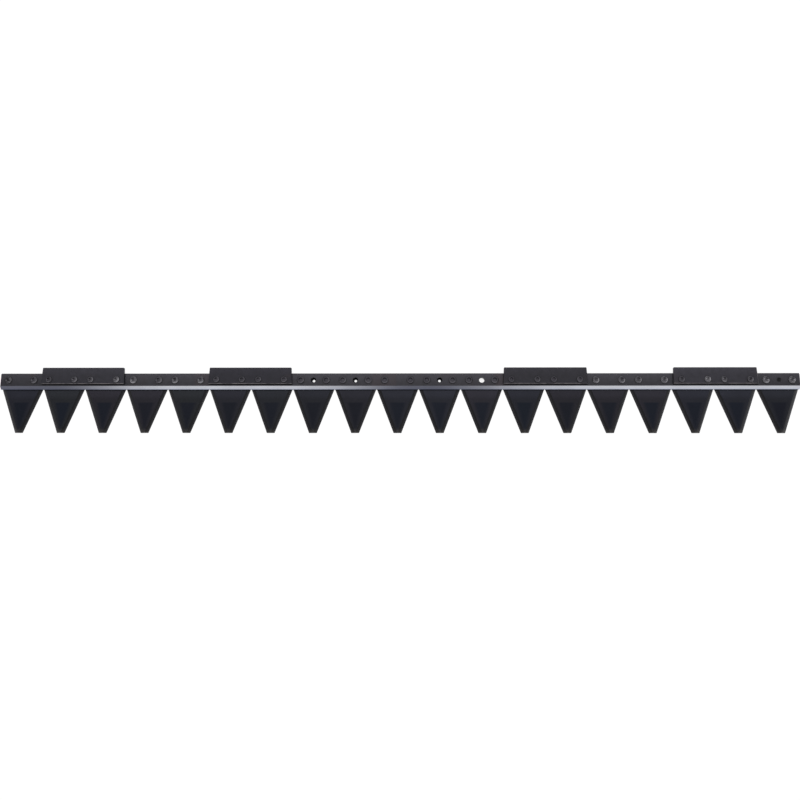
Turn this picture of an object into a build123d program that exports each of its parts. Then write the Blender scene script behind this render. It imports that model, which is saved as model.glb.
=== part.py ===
from build123d import *
from math import radians, tan
import os

# A mower knife, the sliding blade of a cutter bar: a flat knife back with trapezoid knife sections
# riveted under it and wear plates riveted on top of it. Every length is in millimetres.
# X runs along the knife, -Y points to the section tips and +Z is up. The origin is at mid-length,
# on the rivet line, in the plane of the undersides that the knife lies on.

# Knife sections
section_count = 19
section_pitch = 76.2
section_gap = 0.5
section_thickness = 3.0
tip_reach = 95.5
tip_width = 13.9
rear_margin = 1.0
shoulder_cover = 2.0
flank_bevel_width = 6.1
cutting_land = 0.4

# Knife back, a flat bar with a ground bevel along its front
bar_thickness = 8.0
bar_rear_reach = 12.6
bar_front_reach = 16.2
bar_bevel_width = 5.4
bar_bevel_height = 5.5
bar_edge_break = 1.0
bar_corner_radius = 2.0

# Wear plates, each over two sections
plate_thickness = 5.0
plate_front_reach = 7.75
plate_rear_reach = 22.3
plate_end_margin = 0.4
plate_end_taper = 1.5
plate_corner_radius = 1.2
plate_edge_break = 0.8

# Rivets: a flush countersunk foot in the section and a dished head formed on top
rivet_spacing = 46.6
rivet_shank_radius = 3.0
rivet_foot_radius = 5.2
rivet_foot_angle = 90.0
rivet_head_height = 2.0
rivet_head_break = 0.7
rivet_dish_depth = 1.1
rivet_dish_slope = 2.0
bar_head_radius = 6.4
bar_dish_radius = 4.3
plate_head_radius = 5.6
plate_dish_radius = 3.5

# Holes on the rivet line for the knife head: the sections below three of them have a small hole and
# the section below the fourth has a wide one. Near its right end the back has a drilled dimple.
head_hole_radius = 5.0
pilot_hole_radius = 2.5
clear_hole_radius = 6.0
dimple_radius = 4.5
dimple_floor_radius = 0.5
dimple_depth = 2.4

# Heights and the sections that carry something
bar_top = section_thickness + bar_thickness
plate_top = bar_top + plate_thickness
middle_section = (section_count + 1) // 2
plate_starts = (2, 6, section_count - 6, section_count - 2)
plated_sections = [start + step for start in plate_starts for step in (0, 1)]
pilot_sections = (middle_section - 2, middle_section - 1, middle_section + 1)
clear_section = middle_section + 2

os.makedirs("parts", exist_ok=True)


def section_centre(number):
    return (number - (section_count + 1) / 2) * section_pitch


def rivet_places(numbers):
    offsets = (-rivet_spacing / 2, rivet_spacing / 2)
    return [(section_centre(number) + offset, 0) for number in numbers for offset in offsets]


def write(builder, name):
    builder.part.label = name
    export_step(builder.part, f"parts/{name}.step")


# The ground plane of a cutting flank: it rises inwards from the land at the edge to the top face
def bevel_plane(tip, shoulder):
    along = shoulder - tip
    outward = along.cross(Vector(0, 0, 1)) if along.X > 0 else Vector(0, 0, 1).cross(along)
    rise = section_thickness - cutting_land
    normal = outward.normalized() * rise + Vector(0, 0, 1) * flank_bevel_width
    return Plane(origin=tip + Vector(0, 0, cutting_land), x_dir=along, z_dir=normal)


# One knife section: a trapezoid with a ground bevel on both cutting flanks, countersunk from below
def make_section(number):
    centre = section_centre(number)
    half_width = (section_pitch - section_gap) / 2
    rear = bar_rear_reach - rear_margin
    shoulder = shoulder_cover - bar_front_reach
    with BuildPart() as section:
        with BuildSketch(Plane.XY):
            with BuildLine():
                Polyline(
                    (centre - half_width, rear),
                    (centre + half_width, rear),
                    (centre + half_width, shoulder),
                    (centre + tip_width / 2, -tip_reach),
                    (centre - tip_width / 2, -tip_reach),
                    (centre - half_width, shoulder),
                    close=True,
                )
            make_face()
        extrude(amount=section_thickness)
        for side in (-1, 1):
            tip_corner = Vector(centre + side * tip_width / 2, -tip_reach, 0)
            shoulder_corner = Vector(centre + side * half_width, shoulder, 0)
            split(bisect_by=bevel_plane(tip_corner, shoulder_corner), keep=Keep.BOTTOM)
        underside = Plane((0, 0, 0), x_dir=(1, 0, 0), z_dir=(0, 0, -1))
        with Locations(underside):
            with Locations(*rivet_places([number])):
                CounterSinkHole(
                    radius=rivet_shank_radius,
                    counter_sink_radius=rivet_foot_radius,
                    counter_sink_angle=rivet_foot_angle,
                )
        if number in pilot_sections:
            with Locations((centre, 0, section_thickness)):
                Hole(radius=pilot_hole_radius)
        if number == clear_section:
            with Locations((centre, 0, section_thickness)):
                Hole(radius=clear_hole_radius)
    return section


# The knife back: its cross-section drawn across the knife, then drawn out to full length
def make_knife_back():
    length = section_count * section_pitch
    numbers = range(1, section_count + 1)
    head_holes = [(section_centre(number), 0) for number in (*pilot_sections, clear_section)]
    with BuildPart() as bar:
        with BuildSketch(Plane.YZ):
            with BuildLine():
                Polyline(
                    (bar_rear_reach, section_thickness),
                    (bar_rear_reach, bar_top),
                    (bar_bevel_width - bar_front_reach, bar_top),
                    (-bar_front_reach, bar_top - bar_bevel_height),
                    (-bar_front_reach, section_thickness),
                    close=True,
                )
            make_face()
        extrude(amount=length / 2, both=True)
        rear = bar.faces().sort_by(Axis.Y)[-1]
        fillet(rear.edges().filter_by(Axis.Z), radius=bar_corner_radius)
        rear = bar.faces().filter_by(Axis.Y).sort_by(Axis.Y)[-1]
        chamfer(rear.edges().sort_by(Axis.Z)[-1], length=bar_edge_break)
        with Locations(Plane.XY.offset(bar_top)):
            with Locations(*rivet_places(numbers)):
                Hole(radius=rivet_shank_radius)
            with Locations(*head_holes):
                Hole(radius=head_hole_radius)
            with Locations((section_centre(section_count), 0)):
                Cone(
                    bottom_radius=dimple_floor_radius,
                    top_radius=dimple_radius,
                    height=dimple_depth,
                    align=(Align.CENTER, Align.CENTER, Align.MAX),
                    mode=Mode.SUBTRACT,
                )
    return bar


# One wear plate: wider at its front than at its rear, with rounded rear corners and broken edges
def make_wear_plate(start):
    centre = section_centre(start) + section_pitch / 2
    front_half = section_pitch - plate_end_margin
    rear_half = front_half - plate_end_taper
    with BuildPart() as plate:
        with BuildSketch(Plane.XY.offset(bar_top)):
            with BuildLine():
                Polyline(
                    (centre - front_half, -plate_front_reach),
                    (centre + front_half, -plate_front_reach),
                    (centre + rear_half, plate_rear_reach),
                    (centre - rear_half, plate_rear_reach),
                    close=True,
                )
            make_face()
        extrude(amount=plate_thickness)
        rear_corners = plate.edges().filter_by(Axis.Z).group_by(Axis.Y)[-1]
        fillet(rear_corners, radius=plate_corner_radius)
        top = plate.faces().sort_by(Axis.Z)[-1]
        chamfer(top.edges(), length=plate_edge_break)
        with Locations(Plane.XY.offset(plate_top)):
            with Locations(*rivet_places([start, start + 1])):
                Hole(radius=rivet_shank_radius)
    return plate


# Rivets of one length: the countersunk foot fills the section's countersink, the shank fills the
# holes up to the seat, and the head is formed there with a dished middle
def make_rivets(places, seat, head_radius, dish_radius):
    foot_height = (rivet_foot_radius - rivet_shank_radius) / tan(radians(rivet_foot_angle / 2))
    head_top = seat + rivet_head_height
    floor_radius = dish_radius - rivet_dish_slope
    with BuildPart() as one_rivet:
        with BuildSketch(Plane.XZ):
            with BuildLine():
                Polyline(
                    (0, 0),
                    (rivet_foot_radius, 0),
                    (rivet_shank_radius, foot_height),
                    (rivet_shank_radius, seat),
                    (head_radius, seat),
                    (head_radius, head_top - rivet_head_break),
                    (head_radius - rivet_head_break, head_top),
                    (dish_radius, head_top),
                    (floor_radius, head_top - rivet_dish_depth),
                    (0, head_top - rivet_dish_depth),
                    close=True,
                )
            make_face()
        revolve(axis=Axis.Z)
    with BuildPart() as rivets:
        with Locations(*places):
            add(one_rivet.part)
    return rivets


for number in range(1, section_count + 1):
    write(make_section(number), f"section_{number:02d}")

write(make_knife_back(), "knife_back")

for index, start in enumerate(plate_starts, start=1):
    write(make_wear_plate(start), f"wear_plate_{index}")

bare_sections = [number for number in range(1, section_count + 1) if number not in plated_sections]
write(make_rivets(rivet_places(bare_sections), bar_top, bar_head_radius, bar_dish_radius), "section_rivets")
write(make_rivets(rivet_places(plated_sections), plate_top, plate_head_radius, plate_dish_radius), "plate_rivets")
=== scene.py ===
import math

import bpy
from mathutils import Euler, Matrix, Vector


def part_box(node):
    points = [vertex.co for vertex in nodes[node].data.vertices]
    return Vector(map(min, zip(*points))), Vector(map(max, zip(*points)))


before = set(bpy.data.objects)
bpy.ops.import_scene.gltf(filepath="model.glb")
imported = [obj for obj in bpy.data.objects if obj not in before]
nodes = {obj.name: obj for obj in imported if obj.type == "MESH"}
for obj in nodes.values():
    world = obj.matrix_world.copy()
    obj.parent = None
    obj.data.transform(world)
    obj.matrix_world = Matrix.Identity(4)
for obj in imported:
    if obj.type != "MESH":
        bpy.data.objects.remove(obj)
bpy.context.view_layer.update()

MM = 1000.0
SAME_PLACE = 0.01
WHITE = (1.0, 1.0, 1.0, 1.0)
SECTION_NODES = sorted(name for name in nodes if name.startswith("section_") and name[8:].isdigit())
PLATE_NODES = sorted(name for name in nodes if name.startswith("wear_plate_"))


# Sizes read from the frame, in millimetres
def box_mm(name):
    low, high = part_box(name)
    return low * MM, high * MM


def centre_x(name):
    low, high = box_mm(name)
    return (low.x + high.x) / 2


middle_name = SECTION_NODES[len(SECTION_NODES) // 2]
middle_points = [vertex.co * MM for vertex in nodes[middle_name].data.vertices]
section_low, section_high = box_mm(middle_name)
bar_low, bar_high = box_mm("knife_back")
plate_top = box_mm(PLATE_NODES[0])[1].z
pitch = centre_x(SECTION_NODES[1]) - centre_x(SECTION_NODES[0])
section_half = (section_high.x - section_low.x) / 2
tip_y = section_low.y
tip_half = max(point.x for point in middle_points if abs(point.y - tip_y) < SAME_PLACE)
shoulder_y = min(point.y for point in middle_points if abs(point.x - section_high.x) < SAME_PLACE)
flank_slope = (section_half - tip_half) / (shoulder_y - tip_y)
flank_cosine = math.cos(math.atan(flank_slope))

# Rivets: their distance from a section's middle line and the radii of the two kinds of head
rivet_offset = 23.3
bar_head_radius, plate_head_radius = 6.4, 5.6

# Values that more than one material function uses
core_top = -40.0
scale_metallic = 0.55
scale_bump_mm = 0.03


# Node trees
class Tree:
    """A node tree. Most methods add nodes and return an output socket."""

    number_inputs = (2, 3)
    colour_inputs = (6, 7)
    colour_output = 2

    def __init__(self, node_tree):
        self.nodes = node_tree.nodes
        self.links = node_tree.links

    def add(self, kind, **settings):
        node = self.nodes.new(kind)
        for key, value in settings.items():
            setattr(node, key, value)
        return node

    def feed(self, node, values):
        """Fills a node's inputs. values gives, by input name or number, a socket or a plain value."""
        for key, value in values.items():
            if isinstance(value, bpy.types.NodeSocket):
                self.links.new(value, node.inputs[key])
            else:
                node.inputs[key].default_value = value

    def made(self, kind, *values, **settings):
        """The first output of a new node whose inputs take the values in order."""
        node = self.add(kind, **settings)
        self.feed(node, dict(enumerate(values)))
        return node.outputs[0]

    def split(self, vector):
        node = self.add("ShaderNodeSeparateXYZ")
        self.feed(node, {0: vector})
        return node.outputs

    def math(self, operation, *values):
        return self.made("ShaderNodeMath", *values, operation=operation)

    def plus(self, first, second):
        return self.math("ADD", first, second)

    def minus(self, first, second):
        return self.math("SUBTRACT", first, second)

    def times(self, first, second, *more):
        product = self.math("MULTIPLY", first, second)
        return self.times(product, *more) if more else product

    def between(self, value, low, high):
        """low where value is 0, high where it is 1, and in proportion elsewhere."""
        return self.plus(low, self.times(value, high - low))

    def ramp(self, value, start, end, low, high, kind="LINEAR"):
        """low where value is at or before start, and high where it is at or past end."""
        node = self.add("ShaderNodeMapRange", interpolation_type=kind)
        self.feed(node, {"Value": value, "From Min": start, "From Max": end, "To Min": low, "To Max": high})
        return node.outputs["Result"]

    def step(self, value, start, end):
        """0 where value is at start, 1 where it is at end, and a smooth change between them."""
        if start > end:
            return self.ramp(value, end, start, 1.0, 0.0, kind="SMOOTHSTEP")
        return self.ramp(value, start, end, 0.0, 1.0, kind="SMOOTHSTEP")

    def band(self, value, centre, half, soft):
        """1 within half of centre, falling to 0 over soft on both sides."""
        distance = self.math("ABSOLUTE", self.minus(value, centre))
        return self.step(distance, half + soft, half)

    def blend(self, factor, first, second):
        """Number first where factor is 0 and second where it is 1."""
        node = self.add("ShaderNodeMix", data_type="FLOAT")
        self.feed(node, {"Factor": factor, **dict(zip(self.number_inputs, (first, second)))})
        return node.outputs[0]

    def mix(self, factor, first, second):
        """Colour first where factor is 0 and second where it is 1."""
        node = self.add("ShaderNodeMix", data_type="RGBA")
        self.feed(node, {"Factor": factor})
        for key, colour in zip(self.colour_inputs, (first, second)):
            self.feed(node, {key: colour if isinstance(colour, bpy.types.NodeSocket) else (*colour, 1.0)})
        return node.outputs[self.colour_output]

    def scaled(self, vector, factor):
        """The place or colour with all three of its numbers multiplied by factor."""
        node = self.add("ShaderNodeVectorMath", operation="SCALE")
        self.feed(node, {0: vector, "Scale": factor})
        return node.outputs[0]

    def graded(self, colour, value, low, high):
        """The colour, as bright as low says where value is 0 and as high says where it is 1."""
        return self.scaled(colour, self.between(value, low, high))


class SteelTree(Tree):
    """The node tree of one steel material, with places and normals of the knife in millimetres."""

    def __init__(self, name):
        self.material = bpy.data.materials.new(name)
        self.material.use_nodes = True
        super().__init__(self.material.node_tree)
        self.shader = self.nodes["Principled BSDF"]
        coordinates = self.add("ShaderNodeTexCoord").outputs
        self.place = self.scaled(coordinates["Object"], MM)
        self.x, self.y, self.z = self.split(self.place)
        self.normal_x, self.normal_y, self.normal_z = self.split(coordinates["Normal"])

    def section_x(self):
        """The place along x, measured from the middle line of the section that holds it."""
        return self.math("WRAP", self.x, pitch / 2, -pitch / 2)

    def from_rivet(self):
        """The place measured from the nearest rivet's axis: across x, along y, and the distance."""
        local_x = self.section_x()
        rivet_x = self.minus(local_x, self.times(self.math("SIGN", local_x), rivet_offset))
        squares = self.plus(self.times(rivet_x, rivet_x), self.times(self.y, self.y))
        return rivet_x, self.y, self.math("SQRT", squares)

    def half_width(self, start_y, start_half, slope):
        """Half the width, at this y, of a form that is start_half at start_y and widens by slope."""
        return self.plus(self.times(self.minus(self.y, start_y), slope), start_half)

    def noise(self, grain, stretch=(1, 1, 1), detail=2.0, roughness=0.5, seed=0.0):
        """Noise whose grain is about this many millimetres, drawn out by stretch along each axis."""
        mapping = self.add("ShaderNodeMapping")
        self.feed(mapping, {"Vector": self.place, "Scale": [1 / grain / part for part in stretch]})
        node = self.add("ShaderNodeTexNoise", noise_dimensions="4D")
        self.feed(node, {"Vector": mapping.outputs[0], "W": seed, "Scale": 1.0})
        self.feed(node, {"Detail": detail, "Roughness": roughness})
        return node.outputs["Fac"]

    def random(self, value, seed):
        """A random number from 0 to 1 that is the same wherever value is the same."""
        node = self.add("ShaderNodeTexWhiteNoise", noise_dimensions="2D")
        self.feed(node, {"Vector": self.made("ShaderNodeCombineXYZ", value, seed, 0.0)})
        return node.outputs["Value"]

    def finish(self, colour, roughness, metallic, height, depth_mm):
        bump = self.add("ShaderNodeBump")
        self.feed(bump, {"Strength": 1.0, "Distance": depth_mm / MM, "Height": height})
        self.feed(self.shader, {"Base Color": colour, "Roughness": roughness, "Metallic": metallic})
        self.feed(self.shader, {"Normal": bump.outputs["Normal"]})
        return self.material


# The dark core of each section: a field along its middle line that narrows towards the tip
def section_core(tree, across):
    half_at_top, slope = 14.2, 0.274
    inside = tree.minus(tree.half_width(core_top, half_at_top, slope), across)
    below_top = tree.step(tree.y, core_top + 1.5, core_top - 1.5)
    clear_of_tip = tree.step(tree.y, tip_y + 3.0, tip_y + 12.0)
    return tree.times(tree.step(inside, -4.0, 4.5), below_top, clear_of_tip)


# How bright each section is: more so towards both ends, and the middle one and two to its right
def section_level(tree, number):
    outer = tree.step(tree.math("ABSOLUTE", number), 1.0, 9.0)
    right_of_middle = tree.band(number, 1.0, 1.0, 0.5)
    level = tree.plus(tree.between(outer, 0.80, 1.16), tree.times(right_of_middle, 0.22))
    return tree.plus(level, tree.between(tree.random(number, 17.0), -0.06, 0.06))


# The blued flats: each section with its own hue, lighter above the core
def section_blue(tree, number, across, cloud):
    greenish, bluish, purplish = (0.0138, 0.0150, 0.0185), (0.0138, 0.0145, 0.0215), (0.0160, 0.0148, 0.0205)
    deep_blue, deep_grey = (0.0045, 0.0075, 0.0155), (0.0056, 0.0066, 0.0132)
    hue = tree.random(number, 3.0)
    tint = tree.mix(tree.step(hue, 0.1, 0.5), greenish, bluish)
    tint = tree.mix(tree.step(hue, 0.5, 0.9), tint, purplish)
    tint = tree.graded(tint, cloud, 0.66, 1.34)
    core_colour = tree.mix(tree.random(number, 8.0), deep_blue, deep_grey)
    colour = tree.mix(section_core(tree, across), tint, core_colour)
    above_core = tree.step(tree.y, core_top + 4.0, core_top + 16.0)
    colour = tree.graded(colour, above_core, 1.0, 1.52)
    return tree.scaled(colour, section_level(tree, number))


# The ground bevels of the cutting flanks, brighter where they run out to a thin edge
def ground_flank(tree, grinding, edge_distance):
    ground_grey = (0.0205, 0.0200, 0.0225)
    colour = tree.graded(ground_grey, grinding, 0.6, 1.4)
    return tree.graded(colour, tree.step(edge_distance, 5.0, 0.4), 1.0, 2.5)


# Steel worn bare at the tip and along the cutting edges, in scuffs
def section_wear(tree, colour, edge_distance):
    worn_steel, tip_share, edge_share = (0.105, 0.098, 0.090), 0.42, 0.45
    worn_tip = tree.times(tree.step(tree.y, tip_y + 9.0, tip_y + 1.0), tip_share)
    worn_edge = tree.times(tree.step(edge_distance, 1.1, 0.2), edge_share)
    scuff = tree.noise(3.0, detail=4.0, roughness=0.65, seed=9.0)
    wear = tree.times(tree.math("MAXIMUM", worn_tip, worn_edge), tree.step(scuff, 0.25, 0.6))
    return tree.mix(wear, colour, worn_steel)


# Painted shade where the sections go under the bar
def section_contact_shade(tree, colour):
    shade_black, shade_share = (0.006, 0.007, 0.012), 0.70
    contact_shade_mask = tree.step(tree.y, bar_low.y - 3.4, bar_low.y - 0.6)
    return tree.mix(tree.times(contact_shade_mask, shade_share), colour, shade_black)


# Knife sections: blued spring steel with a dark core, ground bevels and worn edges
def section_steel():
    bevel_roughness, metallic, bump_mm = 0.32, 0.75, 0.012
    tree = SteelTree("blued_section_steel")
    number = tree.math("ROUND", tree.math("DIVIDE", tree.x, pitch))
    across = tree.math("ABSOLUTE", tree.section_x())
    inside = tree.minus(tree.half_width(tip_y, tip_half, flank_slope), across)
    edge_distance = tree.times(inside, flank_cosine)
    bevel = tree.step(tree.normal_z, 0.98, 0.95)
    cloud = tree.noise(26.0, detail=3.0, seed=1.0)
    grinding = tree.noise(0.35, stretch=(30, 1, 1), detail=2.0, seed=4.0)
    grain = tree.noise(0.6, stretch=(1, 5, 1), detail=3.0, seed=5.0)

    colour = section_blue(tree, number, across, cloud)
    colour = tree.mix(bevel, colour, ground_flank(tree, grinding, edge_distance))
    colour = section_wear(tree, colour, edge_distance)
    # Painted shade where the sections go under the bar
    colour = section_contact_shade(tree, colour)
    roughness = tree.plus(tree.between(cloud, 0.36, 0.46), tree.times(grain, 0.08))
    roughness = tree.blend(bevel, roughness, bevel_roughness)
    height = tree.blend(bevel, tree.times(grain, 0.5), grinding)
    return tree.finish(colour, roughness, metallic, height, bump_mm)


# The black finish of the bar and the plates: mottled scale with a few patches of light rust
def black_scale(tree, colour, seed):
    rust_brown, rust_share = (0.060, 0.034, 0.026), 0.45
    mottle = tree.noise(9.0, detail=5.0, roughness=0.62, seed=seed)
    fine = tree.noise(1.1, detail=3.0, roughness=0.6, seed=seed + 1.0)
    patches = tree.noise(34.0, stretch=(2, 1, 1), detail=3.0, roughness=0.6, seed=seed + 2.0)
    colour = tree.graded(colour, mottle, 0.62, 1.38)
    colour = tree.graded(colour, fine, 0.86, 1.14)
    rust = tree.times(tree.step(patches, 0.56, 0.74), tree.step(fine, 0.35, 0.75))
    colour = tree.mix(tree.times(rust, rust_share), colour, rust_brown)
    height = tree.plus(tree.times(mottle, 0.6), tree.times(fine, 0.5))
    return colour, tree.between(fine, 0.40, 0.56), height


# Painted shade in the corner round each rivet head
def head_corner_shade(tree, colour, head_radius):
    rivet_distance = tree.from_rivet()[2]
    near_head = tree.step(rivet_distance, head_radius + 1.5, head_radius + 0.3)
    on_top = tree.step(tree.normal_z, 0.90, 0.97)
    return tree.graded(colour, tree.times(near_head, on_top), 1.0, 0.50)


# Painted shadow on the bar along each plate's front edge
def plate_front_shadow(tree, colour):
    for plate_name in PLATE_NODES:
        low, high = box_mm(plate_name)
        along_plate = tree.band(tree.x, centre_x(plate_name), (high.x - low.x) / 2, 0.5)
        shadow_strip = tree.times(along_plate, tree.step(tree.y, low.y - 2.5, low.y - 0.5))
        colour = tree.graded(colour, shadow_strip, 1.0, 0.40)
    return colour


# Reddish patches on the bar, each with its place along the bar and half its length
def reddish_patches(tree, colour):
    patches, soft_end = ((-354.0, 9.0), (187.0, 6.0), (-25.0, 18.0)), 9.0
    reddish, patch_share = (0.070, 0.048, 0.050), 0.45
    spots = tree.noise(3.0, detail=4.0, seed=27.0)
    for patch_x, patch_half in patches:
        patch = tree.band(tree.x, patch_x, patch_half, soft_end)
        colour = tree.mix(tree.times(patch, spots, patch_share), colour, reddish)
    return colour


# Painted shade on the walls of the bar's holes and in the dimple near its right end
def hole_shade(tree, colour):
    hole_reach, dimple_reach, soft_rim = 6.0, 5.0, 1.0
    dimple_x = bar_high.x - pitch / 2
    wall_shade = tree.step(tree.math("ABSOLUTE", tree.normal_z), 0.3, 0.1)
    wall_shade = tree.times(wall_shade, tree.band(tree.y, 0.0, hole_reach, soft_rim))
    colour = tree.graded(colour, wall_shade, 1.0, 0.45)
    dimple_shade = tree.times(
        tree.band(tree.x, dimple_x, dimple_reach, soft_rim),
        tree.band(tree.y, 0.0, dimple_reach, soft_rim),
        tree.step(tree.z, bar_high.z, bar_high.z - 0.5),
    )
    return tree.graded(colour, dimple_shade, 1.0, 0.3)


# The bare ground bevel along the bar's front, with painted reflection making it bright in two long stretches
def ground_strip(tree, lines):
    dull_steel, sheen_steel, lower_tint = (0.115, 0.118, 0.150), (0.56, 0.57, 0.62), (0.84, 0.88, 1.0)
    left_painted_sheen = tree.band(tree.x, -300.0, 100.0, 230.0)
    right_painted_sheen = tree.band(tree.x, 525.0, 170.0, 300.0)
    stain = tree.noise(60.0, detail=2.0, seed=33.0)
    painted_sheen = tree.times(tree.plus(left_painted_sheen, right_painted_sheen), tree.between(stain, 0.70, 1.30))
    bare = tree.mix(painted_sheen, dull_steel, sheen_steel)
    lower_part = tree.step(tree.z, bar_high.z - 3.0, bar_high.z - 5.5)
    lower_colour = tree.made("ShaderNodeVectorMath", bare, lower_tint, operation="MULTIPLY")
    return tree.graded(tree.mix(lower_part, bare, lower_colour), lines, 0.82, 1.18)


# Knife back: black scale on the flats, a bare ground bevel along the front
def bar_steel():
    bar_black = (0.0440, 0.0420, 0.0515)
    tree = SteelTree("knife_back_steel")
    colour, roughness, height = black_scale(tree, bar_black, seed=20.0)
    # Painted shade: the top lighter at the rear and darker towards the front
    front_painted_shade = tree.step(tree.y, bar_high.y, bar_low.y + 6.0)
    colour = tree.graded(colour, front_painted_shade, 1.20, 0.74)
    # Painted shadow along the plates' front edges
    colour = plate_front_shadow(tree, colour)
    colour = reddish_patches(tree, colour)
    # Painted shade in the bar's holes and in the dimple
    colour = hole_shade(tree, colour)
    # Painted shade round the rivet heads
    colour = head_corner_shade(tree, colour, bar_head_radius)

    ground = tree.times(tree.step(tree.normal_y, -0.55, -0.70), tree.step(tree.normal_z, 0.40, 0.55))
    lines = tree.noise(0.28, stretch=(80, 1, 1), detail=3.0, seed=31.0)
    colour = tree.mix(ground, colour, ground_strip(tree, lines))
    roughness = tree.blend(ground, roughness, tree.between(lines, 0.24, 0.34))
    height = tree.blend(ground, height, tree.times(lines, 0.4))
    metallic = tree.blend(ground, scale_metallic, 1.0)
    return tree.finish(colour, roughness, metallic, height, scale_bump_mm)


# Bare steel on a plate's broken front edge, and on the right one of the last plate: partly wear, partly a
# painted highlight along the edge
def plate_edge_wear_and_highlight(tree, colour, index):
    bare_steel = (0.235, 0.215, 0.225)
    side = tree.step(tree.normal_y, -0.2, -0.5)
    if index == len(PLATE_NODES):
        side = tree.math("MAXIMUM", side, tree.step(tree.normal_x, 0.2, 0.5))
    broken_edge = tree.times(tree.step(tree.normal_z, 0.95, 0.85), tree.step(tree.normal_z, 0.4, 0.6))
    wear = tree.step(tree.noise(14.0, detail=3.0, seed=90.0 + index), 0.35, 0.6)
    return tree.mix(tree.times(broken_edge, side, tree.between(wear, 0.25, 1.0)), colour, bare_steel)


# Wear plates: the same black scale, each plate with its own tint
def plate_steel(index):
    tints = (
        (0.0325, 0.0310, 0.0410),
        (0.0225, 0.0212, 0.0300),
        (0.0240, 0.0225, 0.0300),
        (0.0370, 0.0350, 0.0460),
    )
    tree = SteelTree(f"wear_plate_steel_{index}")
    tint = tints[(index - 1) % len(tints)]
    colour, roughness, height = black_scale(tree, tint, seed=40.0 + 5.0 * index)
    # Painted shade round the rivet heads
    colour = head_corner_shade(tree, colour, plate_head_radius)
    # Painted shade: the top lighter at the rear and darker towards the front
    front_painted_shade = tree.step(tree.y, bar_high.y + 9.0, 4.0)
    colour = tree.graded(colour, front_painted_shade, 1.18, 0.88)
    # Partly wear, partly a painted highlight along the plate's edge
    colour = plate_edge_wear_and_highlight(tree, colour, index)
    return tree.finish(colour, roughness, scale_metallic, height, scale_bump_mm)


# How far each rivet is rubbed, which also sets how strong its painted rim highlight is: less on the plates
# and near the middle, and fully at three places
def rivet_wear_and_highlight(tree, number, outer):
    bright_places, reach, soft_end = (-508.0, 559.0, 711.0), 9.0, 2.0
    on_plate = tree.step(tree.z, plate_top - 0.5, plate_top)
    wear_and_highlight = tree.times(tree.between(on_plate, 1.0, 0.5), tree.between(outer, 0.30, 1.0))
    wear_and_highlight = tree.times(tree.between(tree.random(number, 5.0), 0.25, 1.0), wear_and_highlight)
    for bright_x in bright_places:
        wear_and_highlight = tree.math("MAXIMUM", wear_and_highlight, tree.band(tree.x, bright_x, reach, soft_end))
    return wear_and_highlight


# Rivets: dark steel rubbed bright on sloping faces, with painted shade in the dishes and a painted highlight
# on one side of the rim
def rivet_steel():
    dark_steel, bare_steel = (0.032, 0.030, 0.037), (0.210, 0.205, 0.220)
    metallic, bump_mm = 0.9, 0.01
    tree = SteelTree("rivet_steel")
    number = tree.math("FLOOR", tree.math("DIVIDE", tree.x, pitch / 2))
    outer = tree.step(tree.math("ABSOLUTE", tree.x), 180.0, 430.0)
    wear_and_highlight = rivet_wear_and_highlight(tree, number, outer)
    rivet_x, rivet_y, rivet_distance = tree.from_rivet()
    # The side of each head that gets the painted rim highlight; the painted dish shade falls away from it
    lit_side_angle = tree.between(tree.random(number, 11.0), -1.9, 0.0)
    along_x, along_y = tree.math("COSINE", lit_side_angle), tree.math("SINE", lit_side_angle)
    toward_lit_side = tree.plus(tree.times(rivet_x, along_x), tree.times(rivet_y, along_y))

    scuff = tree.noise(1.2, detail=4.0, roughness=0.65, seed=61.0)
    flat_top = tree.step(tree.normal_z, 0.97, 0.99)
    slopes = tree.times(tree.between(flat_top, 1.0, 0.1), wear_and_highlight, tree.step(scuff, 0.20, 0.65))
    rim_highlight = tree.times(tree.step(rivet_distance, 3.2, 4.2), tree.step(toward_lit_side, 1.0, 4.5), wear_and_highlight, 0.7)
    colour = tree.mix(tree.math("MAXIMUM", slopes, rim_highlight), dark_steel, bare_steel)
    # Painted shade in each dish, leaning away from the highlighted side
    dish_shade = tree.times(
        tree.step(tree.plus(rivet_distance, tree.times(toward_lit_side, 0.45)), 3.2, 1.6),
        tree.between(tree.random(number, 14.0), 0.15, 0.60),
        tree.between(outer, 0.45, 1.0),
    )
    colour = tree.graded(colour, dish_shade, 1.0, 0.0)
    return tree.finish(colour, tree.between(scuff, 0.14, 0.22), metallic, scuff, bump_mm)


def dress(name, material):
    piece = nodes[name]
    piece.data.materials.clear()
    piece.data.materials.append(material)


section_material = section_steel()
for section_name in SECTION_NODES:
    dress(section_name, section_material)
dress("knife_back", bar_steel())
for plate_index, plate_name in enumerate(PLATE_NODES, start=1):
    dress(plate_name, plate_steel(plate_index))
rivet_material = rivet_steel()
for rivet_name in ("section_rivets", "plate_rivets"):
    dress(rivet_name, rivet_material)


# The floor, the room, the lights and the camera, in metres
def add_object(name, data):
    thing = bpy.data.objects.new(name, data)
    bpy.context.scene.collection.objects.link(thing)
    return thing


def grey(level):
    return (level, level, level, 1.0)


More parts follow.
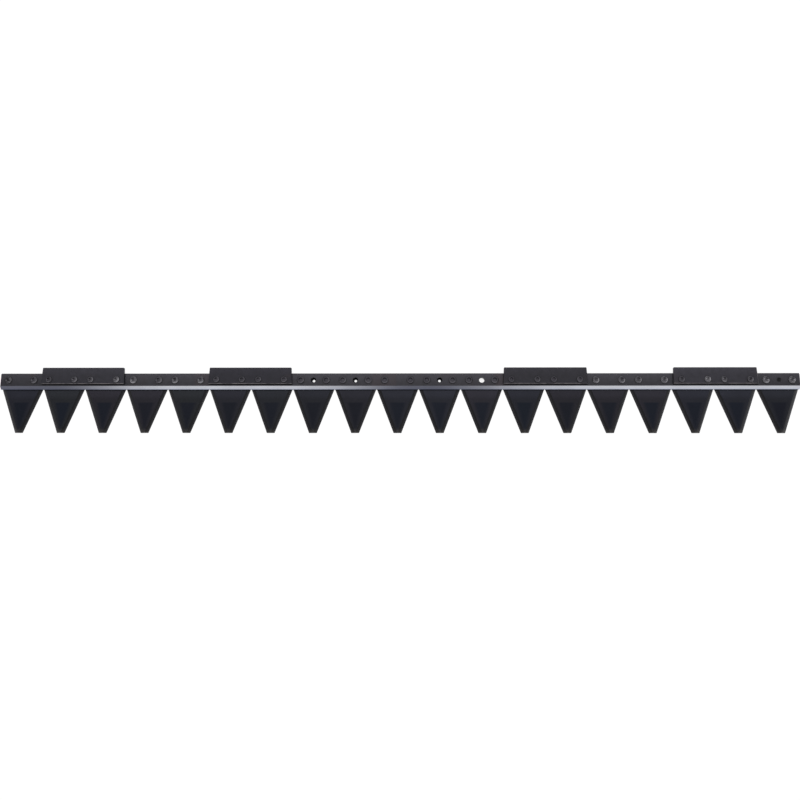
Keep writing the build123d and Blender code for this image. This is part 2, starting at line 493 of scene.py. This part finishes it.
# The floor's material: bright to the camera and in reflections, where it keeps the knife's soft shadow
def floor_paper():
    paper_level, shaded_level, glow_strength = 0.80, 0.24, 0.88
    material = bpy.data.materials.new("white_floor")
    material.use_nodes = True
    material.node_tree.nodes.clear()
    tree = Tree(material.node_tree)
    path = tree.add("ShaderNodeLightPath").outputs
    seen = tree.math("MAXIMUM", path["Is Camera Ray"], path["Is Glossy Ray"])
    paper = tree.made("ShaderNodeBsdfDiffuse", grey(paper_level))
    shaded = tree.made("ShaderNodeBsdfDiffuse", grey(shaded_level))
    glow = tree.made("ShaderNodeEmission", WHITE, glow_strength)
    lit = tree.made("ShaderNodeAddShader", shaded, glow)
    tree.feed(tree.add("ShaderNodeOutputMaterial"), {
        "Surface": tree.made("ShaderNodeMixShader", seen, paper, lit),
    })
    return material


def white_floor():
    half_size, drop = 30.0, 0.0002
    corners = [(x * half_size, y * half_size, 0) for x, y in ((-1, -1), (1, -1), (1, 1), (-1, 1))]
    mesh = bpy.data.meshes.new("floor")
    mesh.from_pydata(corners, [], [(0, 1, 2, 3)])
    mesh.materials.append(floor_paper())
    floor = add_object("floor", mesh)
    floor.location.z = -drop


# The room: white low down all round, dim above, a little darker over the camera's side and lighter
# to the right. The camera itself sees it white.
def white_room():
    world = bpy.data.worlds.new("studio")
    world.use_nodes = True
    bpy.context.scene.world = world
    tree = Tree(world.node_tree)
    x, y, z = tree.split(tree.add("ShaderNodeTexCoord").outputs["Generated"])
    dim = tree.ramp(y, -0.45, -0.05, 0.24, 0.30)
    lighter_right = tree.ramp(x, 0.45, 0.70, 0.0, 0.14)
    light = tree.ramp(z, 0.35, 0.68, 1.0, tree.plus(dim, lighter_right), kind="SMOOTHSTEP")
    path = tree.add("ShaderNodeLightPath").outputs
    strength = tree.blend(path["Is Camera Ray"], light, 1.0)
    tree.feed(tree.nodes["Background"], {"Color": WHITE, "Strength": strength})


# One soft box: a rectangle of light of even brightness, aimed at the knife
def soft_box(name, place, target, width, depth, radiance):
    light = bpy.data.lights.new(name, "AREA")
    light.shape = "RECTANGLE"
    light.size = width
    light.size_y = depth
    light.energy = radiance * math.pi * width * depth
    lamp = add_object(name, light)
    lamp.location = place
    lamp.rotation_euler = (Vector(target) - Vector(place)).to_track_quat("-Z", "Y").to_euler()


# The photograph's camera: its height above the horizon, its swing to the side and its roll
def photo_camera():
    elevation, swing, roll = math.radians(78.4), math.radians(4.19), math.radians(-4.12)
    distance, aim = 1.468, Vector((0.0046, -0.0370, 0.011))
    focal_pixels, picture_pixels, sensor_width_mm = 815.3, 800, 36.0
    back = Vector((
        math.sin(swing) * math.cos(elevation),
        -math.cos(swing) * math.cos(elevation),
        math.sin(elevation),
    ))
    data = bpy.data.cameras.new("photo_camera")
    data.sensor_width = sensor_width_mm
    data.lens = sensor_width_mm * focal_pixels / picture_pixels
    data.clip_start, data.clip_end = 0.05, 100.0
    camera = add_object("photo_camera", data)
    camera.location = aim + back * distance
    turn = (-back).to_track_quat("-Z", "Y") @ Euler((0, 0, roll)).to_quaternion()
    camera.rotation_euler = turn.to_euler()
    bpy.context.scene.camera = camera


white_floor()
white_room()
soft_box("overhead_soft_box", place=(0, 0.60, 1.75), target=(0, 0, 0), width=3.2, depth=0.9, radiance=1.6)
soft_box("right_soft_box", place=(2.60, 0.05, 0.62), target=(0.60, 0, 0), width=0.9, depth=0.25, radiance=1.8)
photo_camera()
bpy.context.scene.view_settings.view_transform = "Standard"
